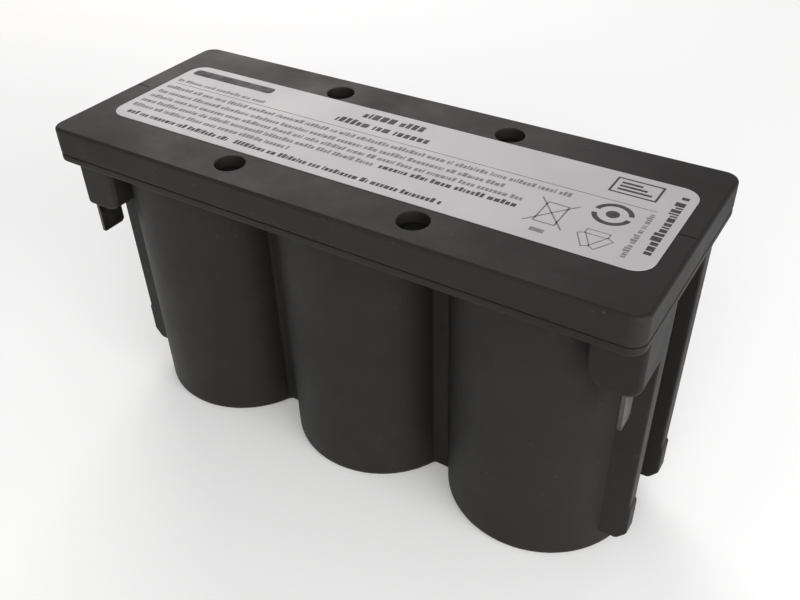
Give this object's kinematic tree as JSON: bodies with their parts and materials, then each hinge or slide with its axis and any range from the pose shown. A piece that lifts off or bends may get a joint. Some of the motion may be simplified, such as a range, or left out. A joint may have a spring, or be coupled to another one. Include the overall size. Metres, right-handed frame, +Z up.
{
  "type": "sealed lead battery block",
  "caption": "Small sealed lead battery block: round cells in a row under one rectangular cover, with push-on blade terminals at the front corners.",
  "frame": {"origin": "centre of the base, on the surface that the block stands on", "axes": "+X along the row of cells, -Y the side with the blade terminals, +Z up through the cover"},
  "size_m": [0.139, 0.054, 0.077],
  "materials": {
    "case_plastic": "black moulded plastic, low sheen",
    "cover_plastic": "black moulded plastic, satin with fine scuffs",
    "label_film": null,
    "stake_plastic": "flattened black plastic",
    "tinned_brass": "dull tin plate",
    "lead": "cast lead, dull grey",
    "positive_mass": "brown lead dioxide paste",
    "negative_mass": "grey sponge lead",
    "separator_mat": "white glass mat",
    "lid_plastic": "dark moulded plastic",
    "seal_rubber": "black rubber",
    "cap_rubber": "black rubber"
  },
  "bodies": {
    "block": {"container": "case_plastic", "cover": "cover_plastic", "label": "label_film", "cover_stakes": "stake_plastic", "terminal_left": "tinned_brass", "terminal_right": "tinned_brass", "connector_12": "lead", "connector_23": "lead", "cell1_positive_plate": "positive_mass", "cell1_negative_plate": "negative_mass", "cell1_separator": "separator_mat", "cell1_positive_strap": "lead", "cell1_negative_strap": "lead", "cell1_positive_post": "lead", "cell1_negative_post": "lead", "cell1_lid": "lid_plastic", "cell1_post_seals": "seal_rubber", "cell2_positive_plate": "positive_mass", "cell2_negative_plate": "negative_mass", "cell2_separator": "separator_mat", "cell2_positive_strap": "lead", "cell2_negative_strap": "lead", "cell2_positive_post": "lead", "cell2_negative_post": "lead", "cell2_lid": "lid_plastic", "cell2_post_seals": "seal_rubber", "cell3_positive_plate": "positive_mass", "cell3_negative_plate": "negative_mass", "cell3_separator": "separator_mat", "cell3_positive_strap": "lead", "cell3_negative_strap": "lead", "cell3_positive_post": "lead", "cell3_negative_post": "lead", "cell3_lid": "lid_plastic", "cell3_post_seals": "seal_rubber"},
    "valve_cap_1": {"cell1_valve_cap": "cap_rubber"},
    "valve_cap_2": {"cell2_valve_cap": "cap_rubber"},
    "valve_cap_3": {"cell3_valve_cap": "cap_rubber"}
  },
  "joints": [
    {"name": "valve_lift_1", "type": "slide", "parent": "block", "child": "valve_cap_1", "axis": [0, 0, 1], "range_m": [0, 0.0008], "stiffness_N_per_m": 2000},
    {"name": "valve_lift_2", "type": "slide", "parent": "block", "child": "valve_cap_2", "axis": [0, 0, 1], "range_m": [0, 0.0008], "stiffness_N_per_m": 2000},
    {"name": "valve_lift_3", "type": "slide", "parent": "block", "child": "valve_cap_3", "axis": [0, 0, 1], "range_m": [0, 0.0008], "stiffness_N_per_m": 2000}
  ]
}
